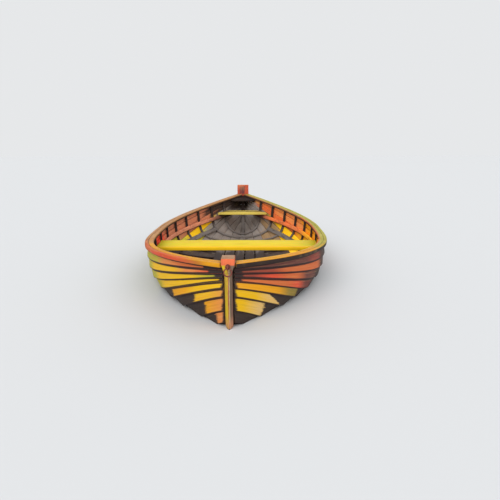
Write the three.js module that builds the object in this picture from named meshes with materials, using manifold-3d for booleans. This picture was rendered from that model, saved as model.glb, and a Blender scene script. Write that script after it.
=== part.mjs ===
// A double-ended clinker rowing boat of wood, afloat: nine lapped strakes a side on a keel with a stem post and a
// stern post, steam-bent ribs, rails, risers, two thwarts, floorboards and a mooring ring at the bow.
// Millimetres, +X forward to the bow, +Y to port, +Z up. The origin is amidships on the centreline, at the
// waterline.
import * as THREE from "three";
import { mergeVertices } from "three/addons/utils/BufferGeometryUtils.js";
import Module from "manifold-3d";

const wasm = await Module();
wasm.setup();

// Driving dimensions of the hull
const BEAM = 1500; // over the sheer strakes
const POST_X = 1900; // where the strakes end on the posts, at the waterline
const POST_RAKE = 0.16; // how far the posts lean outwards for each unit of height
const FREEBOARD = 270; // amidships, from the waterline to the top of the sheer strake
const BOW_SHEER = 111; // how much higher the sheer is at the bow
const STERN_SHEER = 138;
const BODY_DRAFT = 92; // from the waterline down to the garboards' inner edge
const KEEL_DEPTH = 66; // of the keel below the garboards' inner edge
const BOW_FULLNESS = 3.1; // power of the sheer's outline in plan, higher is blunter
const STERN_FULLNESS = 1.9;

// Planking
const STRAKES = 9; // on each side
const PLANK = 12; // thickness
const LAP = 17; // height of the land where two strakes overlap
const GAP = 0.4; // between faces that touch
const WELD = 1e-4; // points closer than this are one
const STATIONS = 26; // steps along a strake
const SCARFED = 4; // the strake that is of two lengths on each side
const SCARF = { x: -300, run: 48 }; // where its lengths meet, and how far the joint slants along the plank

// Backbone
const SIDING = 44; // width of the keel and of the posts below their heads
const HALF_SIDING = SIDING / 2;
const CUTWATER = 14; // width of a post's front face, between its two bevels
const KEEL_PROUD = 12; // of the keel above the garboards' inner edge
const KEEL_SCARF = { x: 1240, run: 60 }; // where the keel meets a post's foot
const POST = { behind: 40, landing: 12, ahead: 45 }; // from the rabbet to the back, the bevels and the front
const HOG = { width: 92, depth: 22, end: 1400 };

// Rails along the sheer
const RAIL = { inboard: 46, outboard: 22, depth: 24, lip: 4 };

// Ribs
const RIB = { width: 28, depth: 16 };
const RIB_X = [-1590, -1330, -1040, -745, -447, -149, 149, 447, 745, 1040, 1330, 1590];
const SHORT_RIBS = [0, RIB_X.length - 1]; // in one piece, the others in halves that meet over the keel

// Fore-and-aft timbers inside the ribs: height is of their middle amidships, from and to are shares of the length
const RISER = { depth: 44, thick: 15, height: 146, from: -0.885, to: 0.87, pieces: 18 };
const BILGE_STRINGER = { depth: 34, thick: 12, height: 26, from: -0.69, to: 0.69, pieces: 18 };
const INNER_SHEER = 0.4; // how much of the sheer's rise they follow
const innerSheer = (u) => INNER_SHEER * (sheerAt(u) - FREEBOARD);

// Thwarts: x of the two long edges, thickness
const THWARTS = [
  { name: "bow_thwart", aft: 224, fore: 552, thick: 30 },
  { name: "stern_thwart", aft: -1640, fore: -1428, thick: 28 },
];

// Floorboards
const BOARDS = { count: 5, width: 92, gap: 12, thick: 14, from: -1000, to: 1000 };
const BATTENS = { x: [-894, -298, 298, 894], width: 46, depth: 13, inset: 14, into: 4 };

// Heads of the posts: rise is above the rails, shoulder is below the sheer, and from there the front narrows to the
// post over the spread
const BOW_HEAD = { width: 74, behind: 46, ahead: 51, rise: 34, shoulder: -24, spread: 46 };
const STERN_HEAD = { width: 148, behind: 56, ahead: 51, rise: 112, shoulder: 8, spread: 90 };

// Breasthooks: knees that tie the rails together behind the posts
const BREASTHOOK = { thick: 26, drop: 12, clear: 3.5, bow: 100, stern: 190, steps: 3 };

// Eyebolt on the bow post, and the ring that hangs in it
const EYE = { z: 394, hole: 7.5, wire: 4, shank: 5, plate: 15, plateThick: 4, sides: 16 };
const RING = { radius: 22, wire: 4, steps: 32, sides: 12 };

// The hull's sections, amidships and at the ends: cubics whose two handles lie on the floor and at the bilge
const SECTION = {
  floor: [0.855, 0.62], // share of the half-breadth out to the floor's handle
  deadrise: [4, 24], // the floor's slope in degrees
  bilge: [0.99, 0.93], // share of the half-breadth out to the bilge's handle
  tuck: [0.06, 0.2], // share of the height up to the bilge's handle
};

// Colours as painted, weathered
const YELLOW = 0xdfae1c;
const ORANGE = 0xc8612c;
const GREENISH_YELLOW = 0xb9a528;
const BRIGHT_YELLOW = 0xf0d020;
const DARK_WOOD = 0x3b3129;
const GREY_BOARDS = 0x4b4844;
const RED_HEAD = 0xc2492a;
const IRON = 0x4a3a32;
const FIRST_ORANGE = 6; // the lowest strake that is orange on the port side
const IRON_FINISH = [0.6, 0.7]; // roughness and metalness

const paint = (color, roughness = 0.7, metalness = 0) =>
  new THREE.MeshStandardMaterial({ color, roughness, metalness });

const boat = new THREE.Group();

function addPart(name, geometry, material) {
  const mesh = new THREE.Mesh(geometry, material);
  mesh.name = name;
  boat.add(mesh);
  return mesh;
}

// A closed solid through a row of sections, each a ring of the same number of points. The faces from the points in
// turned are split along their other diagonal, so that two solids that meet there have the same facets.
function loft(sections, turned = []) {
  const n = sections[0].length;
  const positions = sections.flat().flatMap((p) => [p.x, p.y, p.z]);
  const index = [];
  const last = (sections.length - 1) * n;
  for (let start = 0; start < last; start += n) {
    for (let j = 0; j < n; j++) {
      const k = (j + 1) % n;
      const [a, b, c, d] = [start + j, start + k, start + n + k, start + n + j];
      if (turned.includes(j)) index.push(a, b, d, b, c, d);
      else index.push(a, b, c, a, c, d);
    }
  }
  for (const [p, q, r] of capOf(sections[0])) index.push(r, q, p);
  for (const [p, q, r] of capOf(sections.at(-1))) index.push(last + p, last + q, last + r);
  const geometry = new THREE.BufferGeometry();
  geometry.setAttribute("position", new THREE.Float32BufferAttribute(positions, 3));
  geometry.setIndex(signedVolume(positions, index) < 0 ? index.reverse() : index);
  geometry.computeVertexNormals();
  return geometry;
}

// Triangles that close a ring of points, turned the same way as the ring
function capOf(ring) {
  const normal = new THREE.Vector3();
  ring.forEach((p, i) => normal.add(p.clone().cross(ring[(i + 1) % ring.length])));
  normal.normalize();
  const across = ring[1].clone().sub(ring[0]).normalize();
  const up = normal.clone().cross(across);
  const flat = ring.map((p) => new THREE.Vector2(p.dot(across), p.dot(up)));
  return THREE.ShapeUtils.triangulateShape(flat, []);
}

function signedVolume(positions, index) {
  const at = (i) => new THREE.Vector3().fromArray(positions, 3 * i);
  let sum = 0;
  for (let i = 0; i < index.length; i += 3) {
    sum += at(index[i]).dot(at(index[i + 1]).cross(at(index[i + 2])));
  }
  return sum;
}

// Mirror image of a geometry, with -1 for x or y
function flipped(geometry, x, y) {
  const image = geometry.clone().applyMatrix4(new THREE.Matrix4().makeScale(x, y, 1));
  image.setIndex([...image.index.array].reverse());
  return image;
}

// Point for point mirror image, from port to starboard
const mirrored = (sections) =>
  sections.map((ring) => ring.map((p) => new THREE.Vector3(p.x, -p.y, p.z)));

const lerp = THREE.MathUtils.lerp;

// Height of the sheer at u, which runs from -1 at the stern to 1 at the bow
const sheerAt = (u) => FREEBOARD + (u > 0 ? BOW_SHEER : STERN_SHEER) * u * u;

// Half the beam at the sheer. A strake's end stands off the post by most of its thickness.
const END_SHARE = 0.8; // of the plank's thickness
const END_BREADTH = HALF_SIDING + GAP + END_SHARE * PLANK;
function breadthAt(u) {
  const power = u > 0 ? BOW_FULLNESS : STERN_FULLNESS;
  return END_BREADTH + (BEAM / 2 - END_BREADTH) * (1 - Math.abs(u) ** power);
}

// The rabbet, where the planking meets the backbone: straight up the post, then an ellipse into the keel
const RABBET = { turn: 50, run: 410 };
const RAKE_PASSES = 6; // enough for the height to settle, because the post's rake moves x with it
function rabbetX(z) {
  const below = Math.max(0, RABBET.turn - z) / (RABBET.turn + BODY_DRAFT);
  return POST_X + POST_RAKE * z - RABBET.run * (1 - Math.sqrt(Math.max(0, 1 - below * below)));
}

// Height of the rabbet at x, which is also the garboards' inner edge
function rabbetZ(x) {
  let z = -BODY_DRAFT;
  for (let pass = 0; pass < RAKE_PASSES; pass++) {
    const along = Math.max(0, Math.abs(x) - POST_RAKE * z - POST_X + RABBET.run) / RABBET.run;
    z = RABBET.turn - (RABBET.turn + BODY_DRAFT) * Math.sqrt(Math.max(0, 1 - along * along));
  }
  return z;
}

// Share of the girth, from the keel up, at each land, amidships and on the posts, to which the lands sweep up
const LANDS = [
  { amidships: 0, atPosts: 0 },
  { amidships: 0.15, atPosts: 0.18 },
  { amidships: 0.286, atPosts: 0.36 },
  { amidships: 0.42, atPosts: 0.565 },
  { amidships: 0.524, atPosts: 0.69 },
  { amidships: 0.62, atPosts: 0.79 },
  { amidships: 0.725, atPosts: 0.845 },
  { amidships: 0.815, atPosts: 0.9 },
  { amidships: 0.905, atPosts: 0.95 },
  { amidships: 1, atPosts: 1 },
];
const LAND_SWEEP = 3.6; // power of the sweep, higher keeps it nearer to the posts
const HOOD_Z = -45; // height of the lowest plank's end on a post

// One section of the moulded hull at u: a cubic from the keel to the sheer, in y and z
function sectionCurve(u) {
  const ends = Math.abs(u) ** 3;
  const half = breadthAt(u) - HALF_SIDING;
  const foot = rabbetZ(u * rabbetX(HOOD_Z));
  const rise = sheerAt(u) - foot;
  const between = ([amidships, atEnds]) => lerp(amidships, atEnds, ends);
  const floor = between(SECTION.floor) * half;
  const slope = Math.tan(THREE.MathUtils.degToRad(between(SECTION.deadrise)));
  const inner = HALF_SIDING + GAP;
  return new THREE.CubicBezierCurve3(
    new THREE.Vector3(0, inner, foot),
    new THREE.Vector3(0, inner + floor, foot + floor * slope),
    new THREE.Vector3(0, inner + between(SECTION.bilge) * half, foot + between(SECTION.tuck) * rise),
    new THREE.Vector3(0, breadthAt(u), sheerAt(u)),
  );
}

// Land k at u, on the port side
function landPoint(k, u) {
  const { amidships, atPosts } = LANDS[k];
  const point = sectionCurve(u).getPointAt(lerp(amidships, atPosts, Math.abs(u) ** LAND_SWEEP));
  const endZ = lerp(HOOD_Z, sheerAt(Math.sign(u) || 1), atPosts);
  point.x = u * rabbetX(endZ);
  return point;
}

const END_CROWDING = 0.55; // 0 spaces the stations evenly, 1 crowds them towards the posts
const stationU = Array.from({ length: STATIONS + 1 }, (_, i) => {
  const t = (2 * i) / STATIONS - 1;
  return lerp(t, Math.sin((Math.PI / 2) * t), END_CROWDING);
});
const lands = LANDS.map((_, k) => stationU.map((u) => landPoint(k, u)));

// Direction along a land at a station
function alongLand(k, i) {
  const row = lands[k];
  return row[Math.min(i + 1, STATIONS)].clone().sub(row[Math.max(i - 1, 0)]).normalize();
}

// A strake's own directions at a station: up its inner face, out through it, and its height to the land above
function strakeFrame(k, i) {
  const chord = lands[k][i].clone().sub(lands[k - 1][i]);
  const along = alongLand(k, i).add(alongLand(k - 1, i)).normalize();
  const outward = chord.clone().cross(along).normalize();
  const height = Math.sqrt(chord.lengthSq() - PLANK * PLANK);
  const up = chord.clone().multiplyScalar(height / PLANK).addScaledVector(outward, -chord.length()).normalize();
  const out = up.clone().cross(along).normalize();
  return { up, out, height };
}

// Height of the land above strake k: less where the planking turns sharply, so that the bevel leaves some plank
const BEVEL_SHARE = 0.55; // the most that a bevel takes of the plank's thickness
function lapAbove(k, i) {
  const turn = -strakeFrame(k + 1, i).up.dot(strakeFrame(k, i).out);
  return turn * LAP > BEVEL_SHARE * PLANK ? (BEVEL_SHARE * PLANK) / turn : LAP;
}

// The six corners of strake k at station i, from the inner bottom corner up and round
function strakeSection(k, i) {
  const { up, out, height } = strakeFrame(k, i);
  const foot = lands[k - 1][i];
  const at = (u, o) => foot.clone().addScaledVector(up, u).addScaledVector(out, o);
  const top = k === STRAKES;
  const below = k > 1 ? lapAbove(k - 1, i) : LAP;
  const above = top ? 0 : lapAbove(k, i);
  const ring = [at(0, GAP), at(below, GAP), at(height + above, GAP)];
  if (top) {
    ring[2].addScaledVector(up, (lands[k][i].z - ring[2].z) / up.z);
    ring.push(lands[k][i].clone());
    ring.push(lands[k][i].clone().addScaledVector(up, -RAIL.lip / up.z));
  } else {
    ring.push(lands[k][i].clone().addScaledVector(strakeFrame(k + 1, i).up, above));
    ring.push(lands[k][i].clone());
  }
  ring.push(at(0, PLANK));
  ring.forEach((p) => {
    p.y = Math.max(p.y, HALF_SIDING + GAP);
  });
  return ring;
}

// A strake cut into an after and a fore length, along a plane that slants through its thickness
function scarfedLengths(k) {
  const i = stationU.findIndex((u) => u * POST_X > SCARF.x);
  const slant = new THREE.Vector3(PLANK, 0, 0).addScaledVector(strakeFrame(k, i).out, -SCARF.run).normalize();
  const offset = slant.dot(strakes[k][i][0]);
  const whole = solidOf(loft(strakes[k], [LAND_FACE]));
  const aft = whole.trimByPlane(slant.clone().negate().toArray(), GAP / 2 - offset);
  const fore = whole.trimByPlane(slant.toArray(), offset + GAP / 2);
  return { aft: geometryOf(aft), fore: geometryOf(fore) };
}

const LAND_FACE = 3; // from the inner top corner's neighbour down to the land
const strakes = [];
for (let k = 1; k <= STRAKES; k++) {
  strakes[k] = stationU.map((_, i) => strakeSection(k, i));
  const port = paint(k >= FIRST_ORANGE ? ORANGE : YELLOW);
  const starboard = paint(k === STRAKES ? GREENISH_YELLOW : YELLOW);
  if (k === SCARFED) {
    for (const [end, length] of Object.entries(scarfedLengths(k))) {
      addPart(`strake_port_${k}_${end}`, length, port);
      addPart(`strake_starboard_${k}_${end}`, flipped(length, 1, -1), starboard);
    }
  } else {
    addPart(`strake_port_${k}`, loft(strakes[k], [LAND_FACE]), port);
    addPart(`strake_starboard_${k}`, loft(mirrored(strakes[k]), [LAND_FACE]), starboard);
  }
}

// Point where a row of points, ordered along x, passes x
function atX(row, x) {
  const i = THREE.MathUtils.clamp(row.findIndex((p) => p.x > x), 1, row.length - 1);
  const t = (x - row[i - 1].x) / (row[i].x - row[i - 1].x);
  return row[i - 1].clone().lerp(row[i], t);
}

// The planking's inner line in the section at x, from the keel up: the strakes' inner top corners
const INNER_TOP = 2;
const innerLine = (x) => strakes.slice(1).map((sections) => atX(sections.map((ring) => ring[INNER_TOP]), x));

// A line of points in one section, moved inwards (up and towards the centreline) by a distance
function inset(line, distance) {
  return line.map((p, i) => {
    const before = line[Math.max(i - 1, 0)];
    const after = line[Math.min(i + 1, line.length - 1)];
    const side = new THREE.Vector3(0, after.y - before.y, after.z - before.z).normalize();
    return new THREE.Vector3(p.x, p.y - side.z * distance, p.z + side.y * distance);
  });
}

// A rib's port half as two lines, outer and inner, from near the centreline up to the rail
const KEEL_TOP = -BODY_DRAFT + KEEL_PROUD;
const HOG_TOP = KEEL_TOP + GAP + HOG.depth;
const POST_CLEARANCE = 5; // over a post's curved foot, beyond the hog
const TWIST_CLEARANCE = { bow: 27, stern: 10 }; // for the planks' twist, which grows to this at the posts
const FLOOR_REACH = [4, 20]; // from the hog's side to where a rib's floor stops being level and meets the planks
const backboneTop = (x) => (Math.abs(x) < HOG.end ? HOG_TOP : rabbetZ(x) + KEEL_PROUD + POST_CLEARANCE);
const TWIST_POWER = 4.5; // higher keeps the twist nearer to the posts
const HEAD_LIFT = 0.06; // of the clearance, because the rail's underside rises inboard with the sheer
const endClearance = (x) => TWIST_CLEARANCE[x > 0 ? "bow" : "stern"] * Math.abs(x / POST_X) ** TWIST_POWER;
function ribLines(x, centre) {
  const planking = innerLine(x);
  const skin = inset(planking, GAP + endClearance(x));
  const base = backboneTop(x) + GAP;
  const [level, planks] = FLOOR_REACH.map((reach) => HOG.width / 2 + reach);
  const clear = skin.filter((p) => p.y > planks);
  const outer = [new THREE.Vector3(x, centre, base), new THREE.Vector3(x, level, base), ...clear];
  const top = outer.at(-1);
  top.z = planking.at(-1).z - GAP + HEAD_LIFT * endClearance(x);
  const inner = inset(outer, RIB.depth);
  inner[0].y = centre;
  inner.at(-1).z = top.z;
  return { outer, inner };
}

RIB_X.forEach((x, i) => {
  const short = SHORT_RIBS.includes(i);
  const edges = [x - RIB.width / 2, x + RIB.width / 2].map((edge) => ribLines(edge, short ? 0 : GAP / 2));
  const corners = Math.min(...edges.map((e) => e.outer.length));
  const trim = (line) => [line[0], ...line.slice(line.length - corners + 1)];
  const half = [];
  for (let j = corners - 1; j >= 0; j--) {
    const [a, b] = edges.map((e) => trim(e.outer)[j]);
    const [c, d] = edges.map((e) => trim(e.inner)[j]);
    half.push([a, b, d, c]);
  }
  const number = String(i + 1).padStart(2, "0");
  const other = mirrored(half);
  if (short) {
    addPart(`rib_${number}`, loft([...half, ...other.reverse().slice(1)]), paint(DARK_WOOD));
  } else {
    addPart(`rib_port_${number}`, loft(half), paint(DARK_WOOD));
    addPart(`rib_starboard_${number}`, loft(other), paint(DARK_WOOD));
  }
});

// A timber along the inside of the ribs
function innerTimber({ depth, thick, height, from, to, pieces }) {
  const sections = [];
  for (let i = 0; i <= pieces; i++) {
    const u = lerp(from, to, i / pieces);
    const x = u * POST_X;
    const middle = height + innerSheer(u);
    const ring = [
      [middle + depth / 2, 0],
      [middle - depth / 2, 0],
      [middle - depth / 2, thick],
      [middle + depth / 2, thick],
    ].map(([z, inward]) => {
      return new THREE.Vector3(x, ribFace(x, z) - inward, z);
    });
    sections.push(ring);
  }
  return sections;
}

// Half-breadth of a section's line at height z
function breadthOn(line, z) {
  const i = THREE.MathUtils.clamp(line.findIndex((p) => p.z > z), 1, line.length - 1);
  return lerp(line[i - 1].y, line[i].y, (z - line[i - 1].z) / (line[i].z - line[i - 1].z));
}

// Half-breadths inside the planking and inside the ribs
const plankFace = (x, z) => breadthOn(innerLine(x), z);
const ribFace = (x, z) => breadthOn(inset(innerLine(x), GAP + endClearance(x) + RIB.depth + GAP), z);

for (const [name, timber] of [["riser", RISER], ["bilge_stringer", BILGE_STRINGER]]) {
  const sections = innerTimber(timber);
  addPart(`${name}_port`, loft(sections), paint(DARK_WOOD));
  addPart(`${name}_starboard`, loft(mirrored(sections)), paint(DARK_WOOD));
}

// Thwarts lie on the risers, their ends cut to the ribs
const THWART_CLEARANCE = 1; // at each end
for (const { name, aft, fore, thick } of THWARTS) {
  const riserTop = (x) => RISER.height + innerSheer(x / POST_X) + RISER.depth / 2;
  const bottom = Math.max(riserTop(aft), riserTop(fore)) + GAP;
  const end = (x) => Math.min(ribFace(x, bottom), ribFace(x, bottom + thick)) - THWART_CLEARANCE;
  const corners = [
    [aft, end(aft)],
    [fore, end(fore)],
    [fore, -end(fore)],
    [aft, -end(aft)],
  ];
  const level = (z) => corners.map(([x, y]) => new THREE.Vector3(x, y, z));
  addPart(name, loft([level(bottom), level(bottom + thick)]), paint(BRIGHT_YELLOW));
}

// Joins and cuts of closed meshes
function solidOf(geometry) {
  const bare = new THREE.BufferGeometry();
  bare.setAttribute("position", geometry.getAttribute("position").clone());
  bare.setIndex(geometry.index);
  const { attributes, index } = mergeVertices(bare, WELD);
  const triVerts = new Uint32Array(index.array);
  return new wasm.Manifold(new wasm.Mesh({ numProp: 3, vertProperties: attributes.position.array, triVerts }));
}

function geometryOf(solid) {
  const { vertProperties, triVerts } = solid.getMesh();
  const geometry = new THREE.BufferGeometry();
  geometry.setAttribute("position", new THREE.BufferAttribute(vertProperties, 3));
  geometry.setIndex(new THREE.BufferAttribute(triVerts, 1));
  geometry.computeVertexNormals();
  return geometry;
}

// A box from its lowest to its highest corner
function box(low, high) {
  const size = high.map((v, i) => v - low[i]);
  return new THREE.BoxGeometry(...size).translate(...low.map((v, i) => v + size[i] / 2));
}

// An outline in x and z, given in any order round it, made a slab across the centreline
function slab(outline, width) {
  const side = (y) => outline.map(([x, z]) => new THREE.Vector3(x, y, z));
  return loft([side(-width / 2), side(width / 2)]);
}

// The keel, and the hog that lies on it inside the planking
const KEEL_BOTTOM = -BODY_DRAFT - KEEL_DEPTH;
addPart("keel", slab([
  [-KEEL_SCARF.x + KEEL_SCARF.run + GAP, KEEL_BOTTOM],
  [KEEL_SCARF.x - KEEL_SCARF.run - GAP, KEEL_BOTTOM],
  [KEEL_SCARF.x + KEEL_SCARF.run - GAP, KEEL_TOP],
  [-KEEL_SCARF.x - KEEL_SCARF.run + GAP, KEEL_TOP],
], SIDING), paint(DARK_WOOD));
addPart("hog", box(
  [-HOG.end, -HOG.width / 2, KEEL_TOP + GAP],
  [HOG.end, HOG.width / 2, HOG_TOP],
), paint(DARK_WOOD));

// A post's three lines, each offset from the rabbet: its back, the start of its bevels, and its front
const POST_LINES = [
  // [offset forward, offset down at the keel]
  [-POST.behind, -KEEL_PROUD],
  [POST.landing, PLANK],
  [POST.ahead, KEEL_DEPTH],
];
const FOREFOOT_STEPS = 9;
function postSections(top) {
  const at = (z) => POST_LINES.map(([ahead]) => [POST_X + ahead + POST_RAKE * z, z]);
  const ring = (lines, cut) => {
    const half = [HALF_SIDING, HALF_SIDING, cut / 2];
    const side = (sign) => lines.map(([x, z], i) => new THREE.Vector3(x, sign * half[i], z));
    return [...side(1), ...side(-1).reverse()];
  };
  const sections = [ring(at(top), CUTWATER)];
  for (let i = 0; i <= FOREFOOT_STEPS; i++) {
    const angle = (Math.PI / 2) * (i / FOREFOOT_STEPS);
    const lines = POST_LINES.map(([ahead, down]) => {
      const z = RABBET.turn - (RABBET.turn + BODY_DRAFT + down) * Math.sin(angle);
      return [POST_X - RABBET.run + (RABBET.run + ahead) * Math.cos(angle) + POST_RAKE * z, z];
    });
    sections.push(ring(lines, lerp(CUTWATER, SIDING, Math.sin(angle) ** 2)));
  }
  const foot = POST_LINES.map(([, down]) => {
    const z = -BODY_DRAFT - down;
    return [KEEL_SCARF.x + KEEL_SCARF.run - (2 * KEEL_SCARF.run * (KEEL_TOP - z)) / (KEEL_TOP - KEEL_BOTTOM), z];
  });
  sections.push(ring(foot, SIDING));
  return sections;
}

// A post's head: a block between the rails' ends, and ahead of the planks a front that narrows down to the post.
// Grown by a margin, the same shape cuts the rails.
function headSolid(head, end, grow = 0) {
  const sheer = sheerAt(end);
  const x = POST_X + POST_RAKE * sheer;
  const half = head.width / 2 + grow;
  const top = sheer + RAIL.depth + head.rise + grow;
  const front = x + head.ahead + grow;
  const bottom = sheer + (grow ? -RAIL.lip : GAP);
  const planks = x + POST.landing + (grow ? -grow : GAP);
  const block = box([x - head.behind - grow, -half, bottom], [planks, half, top]);
  const shoulder = sheer - head.shoulder - grow;
  const foot = shoulder - head.spread - grow;
  const face = [
    [-HALF_SIDING, foot],
    [HALF_SIDING, foot],
    [half, shoulder],
    [half, top],
    [-half, top],
    [-half, shoulder],
  ];
  const slice = (at) => face.map(([y, z]) => new THREE.Vector3(at, y, z));
  return solidOf(block).add(solidOf(loft([slice(planks), slice(front)])));
}

const headCuts = [];
for (const [name, head, end] of [["bow", BOW_HEAD, 1], ["stern", STERN_HEAD, -1]]) {
  const post = geometryOf(solidOf(loft(postSections(sheerAt(end) + RAIL.depth))).add(headSolid(head, end)));
  addPart(`${name}_post`, end > 0 ? post : flipped(post, -1, 1), paint(RED_HEAD));
  const turned = new THREE.Matrix4().makeRotationZ(end > 0 ? 0 : Math.PI);
  headCuts.push(solidOf(geometryOf(headSolid(head, end, GAP)).applyMatrix4(turned)));
}

// Rails: a cap on the sheer strake and the ribs' heads, with a lip outside
function railSection(i) {
  const [, , inner, edge, lipFoot] = strakes[STRAKES][i];
  const along = alongLand(STRAKES, i);
  const out = new THREE.Vector3(-along.y, along.x, 0).normalize();
  const at = (o, z) => edge.clone().addScaledVector(out, o).add(new THREE.Vector3(0, 0, z));
  const ring = [
    at(-RAIL.inboard, GAP),
    at(-RAIL.inboard, RAIL.depth),
    at(RAIL.outboard, RAIL.depth),
    at(RAIL.outboard, -RAIL.lip),
    lipFoot.clone().addScaledVector(out, GAP),
    at(0, GAP),
    inner.clone().setZ(inner.z + GAP),
  ];
  ring.forEach((p) => {
    p.y = Math.max(p.y, GAP);
  });
  return ring;
}

const rail = stationU.map((_, i) => railSection(i));
const STRAKE_TOP_FACE = 5;
for (const [side, sections] of [["port", rail], ["starboard", mirrored(rail)]]) {
  const cut = headCuts.reduce((solid, head) => solid.subtract(head), solidOf(loft(sections, [STRAKE_TOP_FACE])));
  const [rest] = cut.decompose().sort((a, b) => b.volume() - a.volume());
  addPart(`rail_${side}`, geometryOf(rest), paint(ORANGE));
}

// Breasthooks under the rails' ends, cut to the planks
for (const [name, end] of [["bow", 1], ["stern", -1]]) {
  const sections = Array.from({ length: BREASTHOOK.steps + 1 }, (_, i) => {
    const away = (BREASTHOOK[name] * i) / BREASTHOOK.steps;
    const xAt = (z) => end * (POST_X - POST.behind + POST_RAKE * z - GAP - away);
    const corner = (side, z) => new THREE.Vector3(xAt(z), side * (plankFace(xAt(z), z) - BREASTHOOK.clear), z);
    const high = sheerAt(xAt(sheerAt(end)) / POST_X) - BREASTHOOK.drop;
    const low = high - BREASTHOOK.thick;
    return [corner(-1, low), corner(1, low), corner(1, high), corner(-1, high)];
  });
  addPart(`${name}_breasthook`, loft(sections), paint(DARK_WOOD));
}

// Floorboards on the ribs, joined by battens that lie between the ribs
const BOARD_BOTTOM = HOG_TOP + GAP + RIB.depth + GAP;
const boardsHalf = (BOARDS.count * BOARDS.width + (BOARDS.count - 1) * BOARDS.gap) / 2;
const boards = Array.from({ length: BOARDS.count }, (_, i) => {
  const edge = -boardsHalf + i * (BOARDS.width + BOARDS.gap);
  return box(
    [BOARDS.from, edge, BOARD_BOTTOM],
    [BOARDS.to, edge + BOARDS.width, BOARD_BOTTOM + BOARDS.thick],
  );
});
const battens = BATTENS.x.map((x) => box(
  [x - BATTENS.width / 2, -boardsHalf + BATTENS.inset, BOARD_BOTTOM - BATTENS.depth],
  [x + BATTENS.width / 2, boardsHalf - BATTENS.inset, BOARD_BOTTOM + BATTENS.into],
));
const floor = [...boards, ...battens].map(solidOf).reduce((whole, piece) => whole.add(piece));
addPart("floorboards", geometryOf(floor), paint(GREY_BOARDS));

// The eyebolt's eye stands upright along the boat, and the ring hangs in it across the boat
const bowFace = POST_X + POST_RAKE * sheerAt(1) + BOW_HEAD.ahead;
const eyeX = bowFace + GAP + EYE.plateThick + EYE.hole + 2 * EYE.wire;
const rod = (radius, from, to, sides) =>
  new THREE.CylinderGeometry(radius, radius, to - from, sides)
    .rotateZ(Math.PI / 2)
    .translate((from + to) / 2, 0, EYE.z);
const eye = new THREE.TorusGeometry(EYE.hole + EYE.wire, EYE.wire, EYE.sides, 2 * EYE.sides)
  .rotateX(Math.PI / 2)
  .translate(eyeX, 0, EYE.z);
const eyebolt = solidOf(eye)
  .add(solidOf(rod(EYE.plate, bowFace + GAP, bowFace + GAP + EYE.plateThick, 2 * EYE.sides)))
  .add(solidOf(rod(EYE.shank, bowFace + GAP, eyeX - EYE.hole - EYE.wire, EYE.sides)));
addPart("bow_eyebolt", geometryOf(eyebolt), paint(IRON, ...IRON_FINISH));

const ringTop = EYE.z - EYE.hole + EYE.wire + 2 * GAP;
const ring = new THREE.TorusGeometry(RING.radius, RING.wire, RING.sides, RING.steps)
  .rotateY(Math.PI / 2)
  .translate(eyeX, 0, ringTop - RING.radius);
addPart("mooring_ring", ring, paint(IRON, ...IRON_FINISH));

export default boat;
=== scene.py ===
"""The looks of a double-ended clinker rowing boat of painted wood, afloat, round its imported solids."""

import math
from collections import namedtuple

import bmesh
import bpy
import numpy as np
from mathutils import Matrix, Vector


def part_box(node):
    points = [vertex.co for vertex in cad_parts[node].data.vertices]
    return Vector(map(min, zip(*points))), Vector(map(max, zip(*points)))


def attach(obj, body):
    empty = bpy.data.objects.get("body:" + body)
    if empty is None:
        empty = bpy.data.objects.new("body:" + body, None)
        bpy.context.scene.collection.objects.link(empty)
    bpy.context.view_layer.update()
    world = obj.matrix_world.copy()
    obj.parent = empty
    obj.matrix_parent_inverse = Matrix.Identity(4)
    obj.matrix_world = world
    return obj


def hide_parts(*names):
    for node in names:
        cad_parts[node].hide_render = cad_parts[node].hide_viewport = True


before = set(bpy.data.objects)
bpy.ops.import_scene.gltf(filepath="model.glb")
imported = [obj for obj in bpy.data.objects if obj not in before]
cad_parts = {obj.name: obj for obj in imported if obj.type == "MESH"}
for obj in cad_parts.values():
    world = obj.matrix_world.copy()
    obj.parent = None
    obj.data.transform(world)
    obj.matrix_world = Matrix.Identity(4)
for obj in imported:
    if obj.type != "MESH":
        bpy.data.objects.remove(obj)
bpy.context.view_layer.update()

# The hull's driving sizes in metres, as in the solids
BEAM = 1.5
POST_X = 1.9
POST_RAKE = 0.16
FREEBOARD = 0.27
BOW_SHEER = 0.111
STERN_SHEER = 0.138
BODY_DRAFT = 0.092
BOW_FULLNESS = 3.1
STERN_FULLNESS = 1.9
STRAKES = 9
PLANK = 0.012
LAP = 0.017
LAP_LEAN = 0.55 * PLANK  # the most that a lap leans out over the strake below
GAP = 0.0004
HALF_SIDING = 0.022
HALF_CUTWATER = 0.007
POST_SHOULDER = 0.012  # at the waterline, from the rabbet to where a post narrows
CUTWATER = 0.045  # and to its edge
MIRROR = {"port": (1, 1, 1), "starboard": (1, -1, 1)}
RABBET_TURN = 0.05
RABBET_RUN = 0.41
HOOD_Z = -0.045
END_BREADTH = HALF_SIDING + GAP + 0.8 * PLANK
SECTION = {"floor": (0.855, 0.62), "deadrise": (4, 24), "bilge": (0.99, 0.93), "tuck": (0.06, 0.2)}
LANDS_AMIDSHIPS = (0, 0.15, 0.286, 0.42, 0.524, 0.62, 0.725, 0.815, 0.905, 1)
LANDS_AT_POSTS = (0, 0.18, 0.36, 0.565, 0.69, 0.79, 0.845, 0.9, 0.95, 1)
LAND_SWEEP = 3.6
RAIL = {"inboard": 0.046, "outboard": 0.022, "depth": 0.024, "lip": 0.004}
RISER = {"depth": 0.044, "height": 0.146}
INNER_SHEER = 0.4
BOW_HEAD = {"width": 0.074, "behind": 0.046, "ahead": 0.051, "rise": 0.034, "shoulder": -0.024}
STERN_HEAD = {"width": 0.148, "behind": 0.056, "ahead": 0.051, "rise": 0.112, "shoulder": 0.008}
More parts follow.
